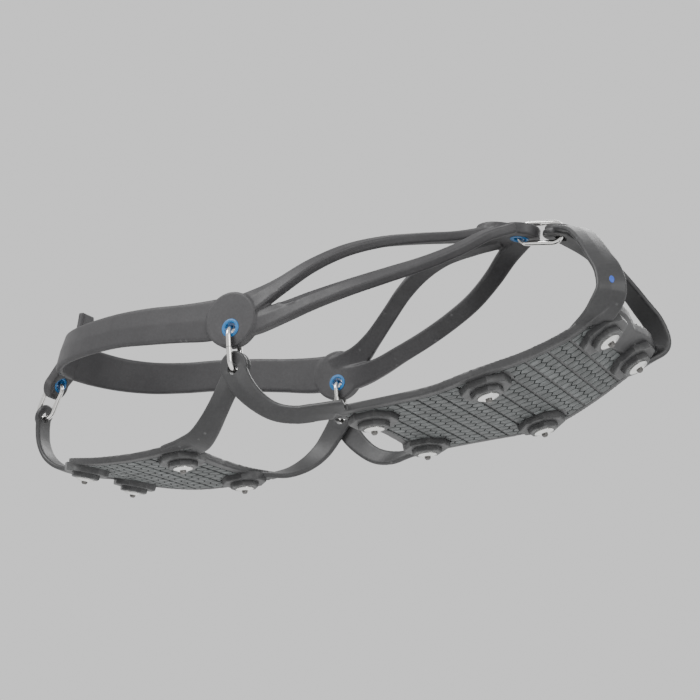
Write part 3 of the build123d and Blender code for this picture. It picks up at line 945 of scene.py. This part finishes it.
def build_mark():
    """A plain blue size dot on the right toe arm."""
    rows = flow(TOE_ARM, -1, 1.0, TOE_OUT * LAYER)
    position, along, across, outward, _ = frames(rows)
    i = int(np.abs(position[:, 2] - 37).argmin())
    verts, faces, sides = [], [], 32
    for scale, height in ((0, -0.3), (1, -0.3), (1, 0.05), (0.86, 0.16), (0, 0.18)):
        for k in range(sides):
            angle = k * 2 * pi / sides
            verts.append(
                position[i] + outward[i] * (ARM / 2 + 0.3 + height)
                + along[i] * 1.5 * scale * cos(angle) + across[i] * 0.9 * scale * sin(angle)
            )
    for r in range(4):
        for k in range(sides):
            l = (k + 1) % sides
            faces.append([r * sides + k, r * sides + l, (r + 1) * sides + l, (r + 1) * sides + k])
    made = new_object("size_mark", verts, faces)
    bm = bmesh.new()
    bm.from_mesh(made.data)
    bmesh.ops.dissolve_degenerate(bm, edges=bm.edges, dist=1e-7)
    bmesh.ops.recalc_face_normals(bm, faces=bm.faces)
    bm.to_mesh(made.data)
    bm.free()
    finish_mesh(made)
    dress(made, MARK_BLUE)
    return made


harness = build_harness()
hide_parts("harness")
harness.name = "harness_moulding"

fore, heel, fore_tread, heel_tread = build_plates()
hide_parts("forefoot_plate")
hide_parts("heel_plate")
for piece, body in ((fore, "forefoot"), (fore_tread, "forefoot"), (heel, "heel"), (heel_tread, "heel")):
    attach(piece, body)
mark = build_mark()
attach(mark, "forefoot")

for key, centre, normal, body in (
    ("toe", place(*TOE_HARNESS), TOE_OUT, "forefoot"),
    ("heel", place(*HEEL_HARNESS), HEEL_OUT, "heel"),
    ("left", place(0, SIDE_HARNESS[1], SIDE_HARNESS[2]), (0, 1, 0), "forefoot"),
    ("right", place(0, -SIDE_HARNESS[1], SIDE_HARNESS[2]), (0, -1, 0), "forefoot"),
):
    bush = build_grommet(key + "_bush", centre, normal)
    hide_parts(key + "_grommet")
    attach(bush, body)

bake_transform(harness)

for name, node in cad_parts.items():
    if name.endswith("_ring"):
        dress(node, RING_STEEL)
    elif name.startswith("stud_"):
        dress(node, STUD_METAL)
    elif name.startswith("tip_"):
        dress(node, TIP_METAL)
    else:
        continue
    node.data.polygons.foreach_set("use_smooth", [True] * len(node.data.polygons))

# ---------------------------------------------------------------- stage, light, camera
# the camera looks up from below the object's ground plane, so the floor lies lower still
FLOOR_Z = -320
FLOOR_HALF = 4000
corners = ((-1, -1), (1, -1), (1, 1), (-1, 1))
floor = new_object(
    "floor", [(i * FLOOR_HALF, j * FLOOR_HALF, FLOOR_Z) for i, j in corners], [[0, 1, 2, 3]]
)
floor_paint, tree, shader, place_out = nodes_of("floor_paint")
paint = ramp(tree, noise(tree, place_out, 3, 2), ((0.3, 0.80), (0.7, 0.84)))
tree.links.new(paint, shader.inputs["Base Color"])
shader.inputs["Roughness"].default_value = 0.9
dress(floor, floor_paint)

world = bpy.data.worlds.new("studio")
bpy.context.scene.world = world
world.use_nodes = True
background = world.node_tree.nodes["Background"]
background.inputs["Color"].default_value = (1.0, 1.0, 1.0, 1)
background.inputs["Strength"].default_value = 0.9


def lamp(name, at, target, size, power, tone=(1, 1, 1)):
    data = bpy.data.lights.new(name, "AREA")
    data.energy, data.size, data.color = power, size, tone
    made = bpy.data.objects.new(name, data)
    bpy.context.scene.collection.objects.link(made)
    made.location = at
    made.rotation_mode = "QUATERNION"
    made.rotation_quaternion = (Vector(target) - Vector(at)).to_track_quat("-Z", "Y")
    return made


lamp("key", (-0.5, -0.9, 1.1), (0, 0, 0.04), 0.7, 16)
lamp("fill", (1.0, -0.6, 0.3), (0, 0, 0.04), 0.6, 5)
lamp("rim", (0.2, 1.1, 0.8), (0, 0, 0.04), 0.8, 10)

CAMERA_AT = (0.2529, -0.5079, -0.1389)
camera_data = bpy.data.cameras.new("camera")
camera_data.lens = 72.3
camera_data.sensor_width = 36
camera_data.clip_start, camera_data.clip_end = 0.01, 50
camera = bpy.data.objects.new("camera", camera_data)
bpy.context.scene.collection.objects.link(camera)
azimuth, elevation, roll = radians(-24.83), radians(18.28), radians(-4.59)
forward = Vector((sin(azimuth) * cos(elevation), cos(azimuth) * cos(elevation), sin(elevation)))
level = forward.cross(Vector((0, 0, 1))).normalized()
upright = level.cross(forward)
right = cos(roll) * level + sin(roll) * upright
up = cos(roll) * upright - sin(roll) * level
turn = Matrix((right, up, -forward)).transposed()
camera.matrix_world = Matrix.Translation(CAMERA_AT) @ turn.to_4x4()
bpy.context.scene.camera = camera
